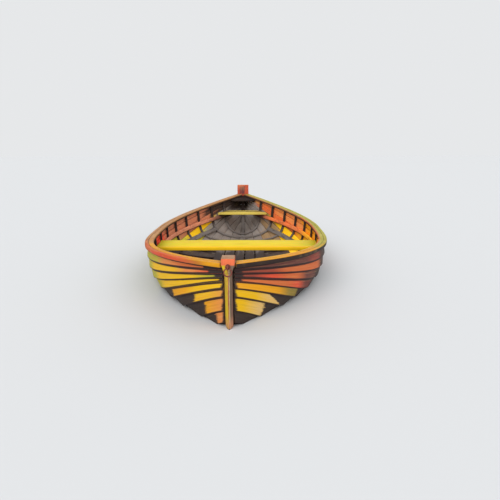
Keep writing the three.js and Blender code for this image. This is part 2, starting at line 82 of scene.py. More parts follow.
RING = {"x": 2.0319, "z": 0.3663, "radius": 0.022, "wire": 0.004}
BOARD_PITCH = 0.104

# Sizes that only the looks have
THWART_SEAM = 0.01  # between the stern thwart's two boards
MERGE = 0.00004  # points nearer than this are one
HAIR = 0.0001  # keeps the finer curves inside the solids' box
SNUG = 0.00002  # what stays of the gap beside the keel and the posts, so that no light shows through
BESIDE_POST = 3 * GAP  # a plank this near the keel or a post lies snug on it
STATIONS = 104
END_CROWDING = 0.55
FLOOR_INTO = 0.004  # how far the floor reaches into the planking and the posts, so that no slit shows


# The hull's shape


def lerp(a, b, t):
    return a + (b - a) * t


def sheer(u):
    return FREEBOARD + (BOW_SHEER if u > 0 else STERN_SHEER) * u * u


def breadth(u):
    power = BOW_FULLNESS if u > 0 else STERN_FULLNESS
    return END_BREADTH + (BEAM / 2 - END_BREADTH) * (1 - abs(u) ** power)


def rabbet_x(z):
    below = max(0.0, RABBET_TURN - z) / (RABBET_TURN + BODY_DRAFT)
    return POST_X + POST_RAKE * z - RABBET_RUN * (1 - math.sqrt(max(0.0, 1 - below * below)))


def rabbet_z(x):
    z = -BODY_DRAFT
    for _ in range(6):
        along = max(0.0, abs(x) - POST_RAKE * z - POST_X + RABBET_RUN) / RABBET_RUN
        z = RABBET_TURN - (RABBET_TURN + BODY_DRAFT) * math.sqrt(max(0.0, 1 - along * along))
    return z


def lands_at(u):
    """The ten lands' points on the port side at u, from the keel up"""
    ends = abs(u) ** 3
    half = breadth(u) - HALF_SIDING
    foot = rabbet_z(u * rabbet_x(HOOD_Z))
    rise = sheer(u) - foot
    floor = lerp(*SECTION["floor"], ends) * half
    slope = math.tan(math.radians(lerp(*SECTION["deadrise"], ends)))
    inner = HALF_SIDING + GAP
    handles = np.array([
        (inner, foot),
        (inner + floor, foot + floor * slope),
        (inner + lerp(*SECTION["bilge"], ends) * half, foot + lerp(*SECTION["tuck"], ends) * rise),
        (breadth(u), sheer(u)),
    ])
    t = np.linspace(0, 1, 201)[:, None]
    curve = (1 - t) ** 3 * handles[0] + 3 * (1 - t) ** 2 * t * handles[1]
    curve = curve + 3 * (1 - t) * t * t * handles[2] + t ** 3 * handles[3]
    run = np.concatenate([[0], np.cumsum(np.linalg.norm(np.diff(curve, axis=0), axis=1))])
    points = []
    for amidships, at_post in zip(LANDS_AMIDSHIPS, LANDS_AT_POSTS):
        share = lerp(amidships, at_post, abs(u) ** LAND_SWEEP) * run[-1]
        end_z = lerp(HOOD_Z, sheer(-1 if u < 0 else 1), at_post)
        y, z = (np.interp(share, run, curve[:, i]) for i in (0, 1))
        points.append((u * rabbet_x(end_z), y, z))
    return points


def unit(v):
    return v / np.maximum(np.linalg.norm(v, axis=-1, keepdims=True), 1e-12)


steps = np.linspace(-1, 1, STATIONS + 1)
station_u = lerp(steps, np.sin(np.pi / 2 * steps), END_CROWDING)
LANDS = np.array([lands_at(u) for u in station_u]).transpose(1, 0, 2)  # by land, station, coordinate
ALONG = unit(np.gradient(LANDS, axis=1))


def strake_frame(k):
    """Up a strake's inner face, out through it, and its height to the land above, at every station"""
    chord = LANDS[k] - LANDS[k - 1]
    along = unit(ALONG[k] + ALONG[k - 1])
    outward = unit(np.cross(chord, along))
    length = np.linalg.norm(chord, axis=1, keepdims=True)
    height = np.sqrt(length ** 2 - PLANK ** 2)
    up = unit(chord * height / PLANK - outward * length)
    return up, np.cross(up, along), height


def lap_above(k):
    up_next = strake_frame(k + 1)[0]
    out = strake_frame(k)[1]
    turn = -np.sum(up_next * out, axis=1, keepdims=True)
    return np.where(turn * LAP > LAP_LEAN, LAP_LEAN / np.maximum(turn, 1e-6), LAP)


def strake_corners(k):
    """The corners of strake k: inner bottom, inner top, outer top, outer at the land above, outer bottom"""
    up, out, height = strake_frame(k)
    foot = LANDS[k - 1]
    land = LANDS[k]
    inner_foot = foot + out * GAP
    outer_foot = foot + out * PLANK
    if k == STRAKES:
        inner_top = foot + up * height + out * GAP
        inner_top = inner_top + up * ((land[:, 2:] - inner_top[:, 2:]) / up[:, 2:])
        outer_top = land
        at_land = land - up * (RAIL["lip"] / up[:, 2:])
    else:
        above = lap_above(k)
        inner_top = foot + up * (height + above) + out * GAP
        outer_top = land + strake_frame(k + 1)[0] * above
        at_land = land
    corners = [inner_foot, inner_top, outer_top, at_land, outer_foot]
    for corner in corners:
        corner[:, 1] = np.maximum(corner[:, 1], HALF_SIDING + GAP)
    return corners


# Meshes


def made_object(name, data):
    thing = bpy.data.objects.new(name, data)
    bpy.context.scene.collection.objects.link(thing)
    return thing


def mesh_of(shell, name):
    mesh = bpy.data.meshes.new(name)
    shell.to_mesh(mesh)
    shell.free()
    return mesh


def shade(mesh, sharp):
    """Smooth, with hard edges where faces meet at more than the angle sharp, in degrees"""
    mesh.shade_smooth()
    mesh.set_sharp_from_angle(angle=math.radians(sharp))


def keep_values(mesh, values):
    """Keeps named arrays of vectors or numbers, one for each point, for the materials"""
    for name, array in values.items():
        flat = np.asarray(array, np.float32).ravel()
        kind, field = ("FLOAT", "value") if flat.size == len(mesh.vertices) else ("FLOAT_VECTOR", "vector")
        mesh.attributes.new(name, kind, "POINT").data.foreach_set(field, flat)


def sweep(name, rings, sharp, values, face_materials=None, closed=False):
    """A closed mesh through rings, an array by station, point of the ring and coordinate"""
    stations, around = rings.shape[:2]
    spans = stations if closed else stations - 1
    faces = []
    picks = []
    for i in range(spans):
        a = i * around
        b = (i + 1) % stations * around
        for j in range(around):
            k = (j + 1) % around
            faces.append((a + j, a + k, b + k, b + j))
        picks += face_materials or [0] * around
    if not closed:
        faces.append(tuple(reversed(range(around))))
        faces.append(tuple((stations - 1) * around + j for j in range(around)))
        picks += [0, 0]
    mesh = bpy.data.meshes.new(name)
    mesh.from_pydata(rings.reshape(-1, 3).tolist(), [], faces)
    mesh.polygons.foreach_set("material_index", picks)
    keep_values(mesh, values)
    shell = bmesh.new()
    shell.from_mesh(mesh)
    bmesh.ops.remove_doubles(shell, verts=shell.verts, dist=MERGE)
    if shell.calc_volume(signed=True) < 0:
        bmesh.ops.reverse_faces(shell, faces=shell.faces)
    shell.to_mesh(mesh)
    shell.free()
    shade(mesh, sharp)
    return made_object(name, mesh)


# Node trees


class Wiring:
    """Adds nodes to a tree. An input is another node's output or a plain value."""

    def __init__(self, tree):
        self.tree = tree

    def add(self, kind, inputs=(), **settings):
        node = self.tree.nodes.new("ShaderNode" + kind)
        for key, value in settings.items():
            setattr(node, key, value)
        for key, value in dict(inputs).items():
            self.feed(node.inputs[key], value)
        return node

    def feed(self, socket, value):
        if isinstance(value, bpy.types.NodeSocket):
            self.tree.links.new(value, socket)
        elif socket.type == "RGBA" and len(value) == 3:
            socket.default_value = (*value, 1)
        else:
            socket.default_value = value

    def math(self, operation, a, b=0.0, clamp=False):
        return self.add("Math", {0: a, 1: b}, operation=operation, use_clamp=clamp).outputs[0]

    def plus(self, a, b):
        return self.math("ADD", a, b)

    def minus(self, a, b):
        return self.math("SUBTRACT", a, b)

    def times(self, a, b):
        return self.math("MULTIPLY", a, b)

    def most(self, a, b):
        return self.math("MAXIMUM", a, b)

    def off(self, value, middle=0.0):
        """How far the value is from the middle, either way"""
        return self.math("ABSOLUTE", self.minus(value, middle))

    def between(self, value, low, high):
        """0 at low and beyond it, 1 at high and beyond it, with a soft step from one to the other"""
        inputs = {"Value": value, "From Min": low, "From Max": high}
        return self.add("MapRange", inputs, interpolation_type="SMOOTHSTEP").outputs[0]

    def noise(self, place, scale, detail, roughness, distortion=0.0):
        inputs = {"Vector": place, "Scale": scale, "Detail": detail, "Roughness": roughness}
        return self.add("TexNoise", {**inputs, "Distortion": distortion}).outputs[0]

    def strokes(self, place, stretch, detail, roughness, distortion=0.0, shift=(0, 0, 0)):
        """Noise that is drawn out along the grain"""
        drawn_out = self.add("Mapping", {"Vector": place, "Scale": stretch, "Location": shift}).outputs[0]
        return self.noise(drawn_out, 1.0, detail, roughness, distortion)

    def torn(self, place, stretch, detail=4, roughness=0.65, shift=(0, 0, 0)):
        """Strokes either side of 0, for ragged edges"""
        return self.minus(self.strokes(place, stretch, detail, roughness, shift=shift), 0.5)

    def ragged(self, value, torn, by):
        """The value with a torn edge's strokes in it"""
        return self.plus(value, self.times(torn, by))

    def mix(self, share, a, b, blend="MIX"):
        return self.add("Mix", {0: share, 6: a, 7: b}, data_type="RGBA", blend_type=blend).outputs[2]

    def cover(self, colour, mask, paint, thickness):
        """The colour with paint over it where the mask is 1. A thickness of 1 hides the colour."""
        return self.mix(self.times(mask, thickness), colour, paint)

    def ramp(self, value, stops):
        node = self.add("ValToRGB", {0: value})
        elements = node.color_ramp.elements
        while len(elements) < len(stops):
            elements.new(0.5)
        for element, (position, colour) in zip(elements, stops):
            element.position = position
            element.color = (*colour, 1)
        return node.outputs[0]

    def parts(self, vector):
        return self.add("SeparateXYZ", {0: vector}).outputs

    def surface(self, output):
        return self.add("NewGeometry").outputs[output]

    def attribute(self, name, output="Vector"):
        return self.add("Attribute", attribute_name=name).outputs[output]

    def bump(self, height, depth, strength=1.0):
        return self.add("Bump", {"Height": height, "Distance": depth, "Strength": strength}).outputs[0]

    def group(self, tree, **inputs):
        node = self.add("Group", node_tree=tree)
        for key, value in inputs.items():
            self.feed(node.inputs[key], value)
        return node.outputs


def shared_effect(name, inputs, outputs, wire):
    """A node group. inputs has a default for each name, outputs a socket kind."""
    kinds = {float: "NodeSocketFloat", tuple: "NodeSocketColor", Vector: "NodeSocketVector"}
    tree = bpy.data.node_groups.new(name, "ShaderNodeTree")
    for key, default in inputs.items():
        socket = tree.interface.new_socket(key, in_out="INPUT", socket_type=kinds[type(default)])
        socket.default_value = (*default, 1) if type(default) is tuple else default
    for key, kind in outputs.items():
        tree.interface.new_socket(key, in_out="OUTPUT", socket_type="NodeSocket" + kind)
    source = tree.nodes.new("NodeGroupInput")
    sink = tree.nodes.new("NodeGroupOutput")
    results = wire(Wiring(tree), source.outputs)
    for key in outputs:
        tree.links.new(results[key], sink.inputs[key])
    return tree


def srgb(r, g, b):
    """A colour as the eye reads it, 0 to 255, in the shader's linear values"""
    shares = (r / 255, g / 255, b / 255)
    return tuple(c / 12.92 if c <= 0.04045 else ((c + 0.055) / 1.055) ** 2.4 for c in shares)


def wood_grain(w, given):
    fibre = w.strokes(given["Place"], (5, 120, 120), 5, 0.6, 0.4)
    bands = w.strokes(given["Place"], (1.3, 22, 22), 3, 0.5, 1.2)
    grain = w.plus(w.times(fibre, 0.55), w.times(bands, 0.45))
    return {"Grain": w.between(grain, 0.32, 0.68), "Height": grain}


GREY = (0.5, 0.5, 0.5)
GRAIN = shared_effect("wood grain", {"Place": Vector()}, {"Grain": "Float", "Height": "Float"}, wood_grain)


def brushed_paint(w, given):
    place = given["Place"]
    broad = w.strokes(place, (2.1, 30, 30), 3, 0.55, 0.6)
    patch = w.strokes(place, (5, 9, 9), 4, 0.6, shift=(3, 1, 7))
    fine = w.strokes(place, (9, 260, 260), 2, 0.5)
    colour = w.mix(w.between(broad, 0.5, 0.68), given["Paint"], given["Streak"])
    colour = w.mix(w.times(w.between(patch, 0.52, 0.7), given["Fading"]), colour, given["Faded"])
    tone = w.plus(0.8, w.times(fine, 0.4))
    colour = w.mix(1.0, colour, w.add("CombineXYZ", {0: tone, 1: tone, 2: tone}).outputs[0], "MULTIPLY")
    return {"Color": colour, "Height": w.plus(w.times(fine, 0.6), w.times(broad, 0.4))}


BRUSHED = shared_effect(
    "brushed paint",
    {"Place": Vector(), "Paint": GREY, "Streak": GREY, "Faded": GREY, "Fading": 0.5},
    {"Color": "Color", "Height": "Float"},
    brushed_paint,
)


def edge_wear(w, given):
    rounded = w.add("Bevel", {"Radius": given["Reach"]}, samples=4).outputs[0]
    flat = w.surface("Normal")
    facing = w.add("VectorMath", {0: rounded, 1: flat}, operation="DOT_PRODUCT").outputs["Value"]
    edge = w.between(w.minus(1.0, facing), 0.01, 0.2)
    chipped = w.plus(w.times(edge, 0.42), w.strokes(given["Place"], (11, 34, 34), 5, 0.65))
    high = w.minus(1.05, w.times(given["Amount"], 0.5))
    return {"Bare": w.between(chipped, w.minus(high, 0.05), high)}


WORN = shared_effect(
    "edge wear",
    {"Place": Vector(), "Reach": 0.006, "Amount": 0.5},
    {"Bare": "Float"},
    edge_wear,
)


def grime_film(w, given):
    cloud = w.strokes(given["Place"], (6, 14, 14), 5, 0.6, 0.3, (5, 5, 1))
    speck = w.between(w.noise(given["Place"], 160.0, 2, 0.5), 0.66, 0.74)
    film = w.times(w.between(cloud, 0.42, 0.75), given["Amount"])
    film = w.math("ADD", film, w.times(speck, w.times(given["Amount"], 0.5)), clamp=True)
    return {"Color": w.mix(film, given["Color"], given["Dirt"]), "Film": film}


GRIME = shared_effect(
    "grime",
    {"Place": Vector(), "Color": GREY, "Dirt": GREY, "Amount": 0.4},
    {"Color": "Color", "Film": "Float"},
    grime_film,
)


# Paints and materials

# TAR_AND_SHADE is the tar of the bottom, and also painted shade: inside in the bow and towards the stern
# post, and outside on the port side's turn
TAR_AND_SHADE = srgb(58, 47, 44)
# SEAM_AND_SHADE is the dark of tarred seams, and also painted shade under the laps, under the rails and
# under the risers
SEAM_AND_SHADE = srgb(52, 41, 42)
# SHADE_BLACK is painted shade: near black for the breasthooks, which lie in shade
SHADE_BLACK = srgb(40, 33, 33)
DARK_WOOD = srgb(78, 68, 62)
# BOW_YELLOW is darker than the bow thwart looks, as its top faces up into the light
BOW_YELLOW = srgb(219, 195, 8)
STERN_YELLOW = srgb(212, 190, 90)
BARE_WOOD = srgb(118, 100, 84)
DIRT = srgb(84, 66, 48)

# The paints of the planking, thwarts and rails
PAINT = {
    "gold": srgb(242, 190, 26),
    "amber": srgb(240, 166, 30),
    "lime": srgb(186, 177, 54),
    "straw": srgb(236, 196, 126),
    "apricot": srgb(228, 144, 80),
    "orange": srgb(216, 112, 62),
    "coral": srgb(232, 86, 60),
    "brick": srgb(194, 124, 93),
    "rust": srgb(156, 72, 58),
    "umber": srgb(112, 68, 62),
    "olive": srgb(150, 132, 62),
    "tan": srgb(198, 142, 88),
    "slate": srgb(122, 114, 109),
    # ash is slate made paler: painted light where the stern's inside lies in shade
    "ash": srgb(140, 132, 127),
    "drab": srgb(140, 114, 84),
    "tar": TAR_AND_SHADE,
}
WARM_STREAK = np.array([0.97, 0.8, 0.6])  # what a brush stroke's second colour keeps of the paint
OUTSIDE_TONE = 0.86  # the outside faces the light, so its paints are darker than they look
# The inside lies in shade, so its paints are made brighter than they look: painted light
INSIDE_TONE = 1.5
RAIL_TONE = 0.74  # the rails face up into the light

# Forward of these x the inside is dark in the tar colour, painted shade under the bow thwart and in the
# bow: the upper strakes, the bilge, and the bottom with its boards
FOOTWELL = 0.35
BILGE_WELL = -0.2
BOTTOM_WELL = -0.5
BILGE_Z = 0.06  # below this the timbers inside are grey with dirt
STERN_DIRT = 0.13  # how much higher the dirt reaches in the stern
DIRT_RISES = (-1.5, -1.3)  # between these x it comes down from there
DIRT_ENDS = (-1.95, -1.85)  # and between these it stops towards the post
BLOTCH = (-0.012, 0.475)  # y and z of the dark blotch on the stern head
BLEND = 0.12  # length over which one paint runs into the next
STREAK_REACH = 0.2  # how far a paint's brush strokes run back into the one behind it


def paint_along(paints, x):
    """The colour at each x of paints that are each a name and the x where it starts"""
    keys = [-9.0]
    colours = [PAINT[paints[0][0]]]
    for (before, _), (after, start) in zip(paints, paints[1:]):
        keys += [start - BLEND / 2, start + BLEND / 2]
        colours += [PAINT[before], PAINT[after]]
    return np.stack([np.interp(x, keys, channel) for channel in np.array(colours).T], axis=-1)


def streaked(paint, ahead):
    """The second colour of the strokes, from a paint and the one that lies ahead of it"""
    return lerp(ahead, paint * WARM_STREAK, 0.5)


def new_material(name, wire, specular=0.08):
    material = bpy.data.materials.new(name)
    material.use_nodes = True
    shader = material.node_tree.nodes["Principled BSDF"]
    shader.inputs["Specular IOR Level"].default_value = specular
    w = Wiring(material.node_tree)
    for key, value in wire(w).items():
        w.feed(shader.inputs[key], value)
    return material


def brushed(w, place, paint, streak, faded, fading=0.3):
    return w.group(BRUSHED, Place=place, Paint=paint, Streak=streak, Faded=faded, Fading=fading)


def weathered(w, place, colour, paint_height, wear, grime, bare_wood=BARE_WOOD, gloss=0.55):
    """Worn, dirty paint over wood, from a colour that varies over the surface"""
    grain = w.group(GRAIN, Place=place)
    bare = w.group(WORN, Place=place, Reach=0.006, Amount=wear)["Bare"]
    wood = w.mix(grain["Grain"], bare_wood, tuple(c * 0.45 for c in bare_wood))
    dirty = w.group(GRIME, Place=place, Color=w.mix(bare, colour, wood), Dirt=DIRT, Amount=grime)
    height = w.plus(w.times(paint_height, 0.5), w.times(grain["Height"], 0.5))
    height = w.minus(height, w.times(bare, 0.35))
    rough = w.plus(gloss, w.times(w.most(bare, dirty["Film"]), 0.3))
    return {"Base Color": dirty["Color"], "Roughness": rough, "Normal": w.bump(height, 0.0012, 0.8)}


def brush_flow(w, place):
    """Place on a plank, shifted from strake to strake so that no two have the same strokes"""
    x, up, girth = w.parts(place)
    return w.add("CombineXYZ", {0: x, 1: w.plus(up, w.times(girth, 0.37)), 2: girth}).outputs[0]


def planking_outside(w):
    place = w.attribute("place")
    up = w.parts(place)[1]
    flow = brush_flow(w, place)
    past_tar, below_lap, past_post_shade = w.parts(w.attribute("marks"))
    paint = w.attribute("paint")
    painted = brushed(w, flow, paint, w.attribute("streak"), w.mix(0.6, paint, PAINT["straw"]))
    torn = w.torn(flow, (9, 70, 5), 5, 0.7, (1, 0, 2))
    # Dark beside the posts: painted shade where the planks end against the post
    recess = w.between(w.ragged(past_post_shade, torn, 0.05), 0.006, -0.006)
    colour = w.mix(recess, painted["Color"], TAR_AND_SHADE)
    above_waterline = w.minus(w.parts(w.surface("Position"))[2], 0.012)
    bared = w.math("MINIMUM", w.ragged(past_tar, torn, 0.12), w.ragged(above_waterline, torn, 0.03))
    cloud = w.strokes(flow, (7, 60, 3), 4, 0.6)
    tar = w.mix(w.between(cloud, 0.5, 0.78), TAR_AND_SHADE, srgb(84, 74, 60))
    colour = w.mix(w.between(bared, 0.004, -0.004), colour, tar)
    # A dark line along each lap: a tarred seam, with painted shade under the lap on the strake's lower edge
    # (rim) and just below the lap on the strake beneath (corner)
    seam_width = w.times(w.attribute("seam", "Fac"), w.plus(0.55, w.times(cloud, 0.9)))
    rim = w.between(w.minus(up, w.times(seam_width, 0.4)), 0.0012, -0.0008)
    corner = w.between(w.minus(below_lap, w.times(seam_width, 0.6)), 0.0012, -0.0008)
    colour = w.cover(colour, w.most(rim, corner), SEAM_AND_SHADE, 0.95)
    return weathered(w, flow, colour, painted["Height"], wear=0.36, grime=0.2)


def planking_inside(w):
    flow = brush_flow(w, w.attribute("place"))
    below_lap = w.parts(w.attribute("marks"))[1]
    paint = w.attribute("paint")
    painted = brushed(w, flow, paint, w.attribute("streak"), w.mix(0.5, paint, PAINT["olive"]), 0.4)
    # The dark line below the lap inside is a tarred seam, with painted shade under the lap
    colour = w.cover(painted["Color"], w.between(below_lap, 0.006, 0.002), SEAM_AND_SHADE, 0.8)
    return weathered(w, flow, colour, painted["Height"], wear=0.36, grime=0.35)


def rail_paint(w):
    """Two bands with a dark groove, and painted shade as a dark line at the foot of the inner face"""
    place = w.attribute("place")
    across, level = w.parts(place)[1:3]
    paint = w.attribute("paint")
    painted = brushed(w, place, paint, w.attribute("streak"), w.mix(0.5, paint, PAINT["straw"]))
    torn = w.torn(place, (6, 60, 60))
    groove = w.between(w.ragged(w.off(across, GROOVE["middle"]), torn, 0.003), 0.0034, 0.002)
    groove = w.times(w.times(groove, w.between(level, 0.018, 0.0195)), w.attribute("seam", "Fac"))
    # A dark line along the foot of the inner face: painted shade under the rail, where it meets the
    # planking
    shade_foot_height = w.times(w.between(across, -0.044, -0.0455), 0.013)
    foot = w.between(w.minus(w.ragged(level, torn, 0.006), shade_foot_height), 0.0015, -0.001)
    colour = w.cover(painted["Color"], w.most(groove, foot), SEAM_AND_SHADE, 0.92)
    return weathered(w, place, colour, painted["Height"], wear=0.5, grime=0.25)


def dark_timber(w):
    place = w.attribute("place")
    paint = w.attribute("paint")
    painted = brushed(w, place, paint, w.mix(0.5, paint, SEAM_AND_SHADE), w.mix(0.3, paint, BARE_WOOD))
    return weathered(w, place, painted["Color"], painted["Height"], 0.4, 0.3, DARK_WOOD, gloss=0.65)


def riser_paint(w):
    place = w.attribute("place")
    paint = w.attribute("paint")
    painted = brushed(w, place, paint, w.mix(0.3, paint, SEAM_AND_SHADE), w.mix(0.4, paint, PAINT["straw"]))
    # The riser's lower edge is dark: painted shade under the riser
    low = w.between(w.parts(w.attribute("marks"))[1], 0.009, 0.005)
    return weathered(w, place, w.mix(low, painted["Color"], SEAM_AND_SHADE), painted["Height"], wear=0.4, grime=0.3)


def grey_boards(w):
    place = w.attribute("place")
    x = w.parts(place)[0]
    grain = w.group(GRAIN, Place=place)
    colour = w.mix(grain["Grain"], srgb(134, 126, 122), srgb(96, 90, 88))
    tint = w.strokes(place, (3, 14, 14), 4, 0.6)
    colour = w.mix(w.between(tint, 0.5, 0.72), colour, srgb(118, 110, 84))
    torn = w.torn(place, (4, 18, 18), 4, 0.6, (2, 2, 2))
    # Forward of the bottom well the boards turn tar dark: painted shade under the bow thwart
    dark = w.between(w.ragged(x, torn, 0.7), BOTTOM_WELL - 0.05, BOTTOM_WELL + 0.3)
    colour = w.mix(dark, colour, TAR_AND_SHADE)
    return weathered(w, place, colour, grain["Height"], 0.3, 0.25, DARK_WOOD, gloss=0.65)


def thwart_paint(yellow, edge_shade_line, line_width, face, end_green):
    """Yellow, greener at the ends. A band of painted shade lies along the top by the fore edge, face
    colours the fore edge itself, and dirt lies by a seam.
    """

    def wire(w):
        place = w.attribute("place")
        near_end = w.between(w.off(w.parts(place)[0]), 0.45, 0.75)
        paint = w.cover(yellow, near_end, srgb(186, 184, 44), end_green)
        streak = w.mix(0.4, paint, PAINT["amber"])
        painted = brushed(w, place, paint, streak, w.mix(0.06, paint, PAINT["straw"]))
        torn = w.torn(place, (6, 60, 60))
        to_edge, to_seam = w.parts(w.attribute("marks"))[:2]
        from_edge = w.ragged(to_edge, torn, 0.008)
        # A band of painted shade along the top, just aft of the fore edge
        line = w.between(from_edge, line_width, line_width - 0.004)
        line = w.times(line, w.between(from_edge, 0.002, 0.006))
        colour = w.cover(painted["Color"], line, edge_shade_line, 0.75)
        colour = w.cover(colour, w.between(w.ragged(to_seam, torn, 0.02), 0.036, 0.012), DIRT, 0.9)
        colour = w.cover(colour, w.between(from_edge, 0.004, 0.001), face, 0.9)
        return weathered(w, place, colour, painted["Height"], wear=0.26, grime=0.12)

    return wire


def bow_post_colours(w, y, z, torn):
    """The stem, yellow on starboard with the port side brown-grey as painted shade, with a red line and
    a pale painted highlight down it, and its head's front and top
    """
    torn_y = w.ragged(y, torn, 0.006)
    # Port of the ridge the stem is brown-grey: painted shade on the side away from the light
    stem = w.mix(w.between(torn_y, -0.003, -0.001), srgb(212, 180, 40), srgb(118, 98, 82))
    stem = w.cover(stem, w.between(w.off(torn_y), 0.0035, 0.0015), srgb(168, 78, 70), 0.8)
    # A pale painted highlight beside the ridge
    stem = w.cover(stem, w.between(w.off(torn_y, 0.005), 0.0026, 0.0012), srgb(232, 208, 150), 0.7)
    stem = w.cover(stem, w.between(w.ragged(z, torn, 0.08), 0.1, 0.02), srgb(204, 140, 104), 0.65)
    return stem, srgb(220, 110, 72), srgb(162, 124, 92)


def stern_post_colours(w, y, z, torn):
    """The post, its head with a dark blotch on the face that looks forward, and the head's top, which is
    lighter orange as painted light
    """
    stem = w.mix(w.between(torn, 0.02, 0.2), PAINT["orange"], PAINT["amber"])
    from_blotch = w.most(w.off(y, BLOTCH[0]), w.times(w.off(z, BLOTCH[1]), 0.7))
    looks_forward = w.between(w.parts(w.surface("Normal"))[0], 0.6, 0.8)
    blotch = w.times(w.between(w.ragged(from_blotch, torn, 0.06), 0.042, 0.026), looks_forward)
    return stem, w.cover(srgb(190, 84, 60), blotch, srgb(88, 60, 62), 0.85), srgb(200, 112, 52)


def post_paint(end):
    """End is 1 for the bow, -1 for the stern"""
    head_z = sheer(end) - (BOW_HEAD if end > 0 else STERN_HEAD)["shoulder"] - 0.002

    def wire(w):
        place = w.attribute("place")
        x, y, z = w.parts(w.surface("Position"))
        torn = w.torn(place, (10, 90, 90))
        stem, front, top = (bow_post_colours if end > 0 else stern_post_colours)(w, y, z, torn)
        # The head's top takes its own colour by which way the surface faces: a paler top, painted light
        head = w.mix(w.between(w.parts(w.surface("Normal"))[2], 0.6, 0.85), front, top)
        colour = w.mix(w.between(z, head_z - 0.006, head_z + 0.002), stem, head)
        streak = w.mix(0.3, colour, PAINT["rust"])
        painted = brushed(w, place, colour, streak, w.mix(0.4, colour, PAINT["straw"]), 0.4)
        # Dark inboard below the head, painted shade as inside the ends of the boat, grey low in the stern;
        # and tar at the waterline
        from_rabbet = w.minus(w.off(x), w.plus(POST_X, w.times(z, POST_RAKE)))
        below_head = w.between(z, head_z + 0.002, head_z - 0.006)
        inboard = w.times(w.between(from_rabbet, -0.006, -0.016), below_head)
        tar_and_shade_mask = w.most(inboard, w.between(z, 0.006, -0.004))
        tar = TAR_AND_SHADE if end > 0 else w.mix(w.between(z, BILGE_Z, BILGE_Z + STERN_DIRT), PAINT["ash"], TAR_AND_SHADE)
        colour = w.mix(tar_and_shade_mask, painted["Color"], tar)
        return weathered(w, place, colour, painted["Height"], wear=0.4, grime=0.2)

    return wire


def rusted_iron(w):
    rust = w.noise(w.attribute("place"), 180.0, 5, 0.65)
    colour = w.ramp(rust, [(0.3, srgb(62, 46, 44)), (0.5, srgb(112, 62, 54)), (0.7, srgb(168, 96, 84))])
    rough = w.plus(0.5, w.times(rust, 0.4))
    return {"Base Color": colour, "Roughness": rough, "Normal": w.bump(rust, 0.0008)}


# The rail's groove, across the rail from the sheer strake's outer edge
GROOVE = {"inner": -0.0078, "middle": -0.006, "outer": -0.0042, "depth": 0.003}

FINISHES = {
    "planking_outside": planking_outside,
    "planking_inside": planking_inside,
    "rail_paint": rail_paint,
    "bow_thwart_paint": thwart_paint(BOW_YELLOW, PAINT["amber"], 0.036, PAINT["gold"], 0.6),
    "stern_thwart_paint": thwart_paint(STERN_YELLOW, PAINT["olive"], 0.016, STERN_YELLOW, 0),
    "dark_timber": dark_timber,
    "riser_paint": riser_paint,
    "grey_floorboards": grey_boards,
    "bow_post_paint": post_paint(1),
    "stern_post_paint": post_paint(-1),
    "rusted_iron": rusted_iron,
}
MATERIALS = {name: new_material(name, wire) for name, wire in FINISHES.items()}


# Planking

# The coats of the strakes, from the sheer strake down. Outside, the paints go from amidships to the posts,
# each with the x where it starts, and inside from stern to bow. seam is the width of the dark line under
# the strake, amidships and at the posts: a tarred seam with painted shade under the lap. Next comes the
# length at the posts that is dark, painted shade where the planks end beside the post. tar_to is where
# the tar of the outside gives way to paint, and slant how much nearer the posts that is for each unit of
# height. The tar colour in the lists is painted shade outside on port strakes 6 to 9 about amidships, where
# the side turns from the light, and inside forward of the wells and towards the stern post. ash is painted
# light in the stern's inside.
UNTARRED = -1
ALL_TAR = 3
Coat = namedtuple("Coat", "outside seam recess inside tar_to slant", defaults=(UNTARRED, 0))
BOTTOM_INSIDE = (("ash", -2), ("slate", -1.45), ("tar", BOTTOM_WELL))
TARRED = Coat((("umber", 0),), (0.008, 0.008), 0.01, BOTTOM_INSIDE, ALL_TAR)
PORT_COATS = [
    Coat(
        (("rust", 0), ("tar", 0.5), ("rust", 1.12), ("umber", 1.35)), (0.018, 0.014), 0.0,
        (("umber", -2), ("tan", -1.88), ("apricot", -1.7), ("amber", -0.6), ("tar", FOOTWELL),
         ("olive", 0.8), ("tar", 1.5)),
    ),
    Coat(
        (("umber", 0), ("tar", 0.6), ("orange", 1.08), ("rust", 1.68)), (0.014, 0.012), 0.04,
        (("umber", -2), ("tan", -1.84), ("orange", -1.66), ("apricot", -1.35), ("amber", -0.5),
         ("tar", FOOTWELL), ("olive", 0.9), ("tar", 1.4)),
    ),
    Coat(
        (("rust", 0), ("tar", 0.5), ("umber", 1.15), ("orange", 1.42), ("coral", 1.66), ("rust", 1.8)),
        (0.022, 0.015), 0.045,
        (("ash", -2), ("orange", -1.6), ("amber", -0.6), ("tar", FOOTWELL)),
    ),
    Coat(
        (("umber", 0), ("tar", 0.55), ("umber", 1.2), ("coral", 1.4), ("orange", 1.54)),
        (0.011, 0.01), 0.035,
        (("ash", -2), ("olive", -1.5), ("gold", -1.25), ("tar", BILGE_WELL)),
    ),
    Coat(
        (("tar", 0), ("olive", 1.3), ("amber", 1.6)), (0.03, 0.01), 0.012,
        (("ash", -2), ("drab", -1.5), ("gold", -1.15), ("tar", BILGE_WELL)), 1.42,
    ),
    Coat(
        (("straw", 0), ("gold", 1.76)), (0.016, 0.013), 0.008,
        (("ash", -2), ("drab", -1.5), ("tar", BOTTOM_WELL)), 1.66, 2.4,
    ),
    Coat(
        (("straw", 0), ("gold", 1.82)), (0.012, 0.01), 0.008,
        (("ash", -2), ("drab", -1.4), ("tar", BOTTOM_WELL)), 1.73,
    ),
    TARRED,
    TARRED,
]
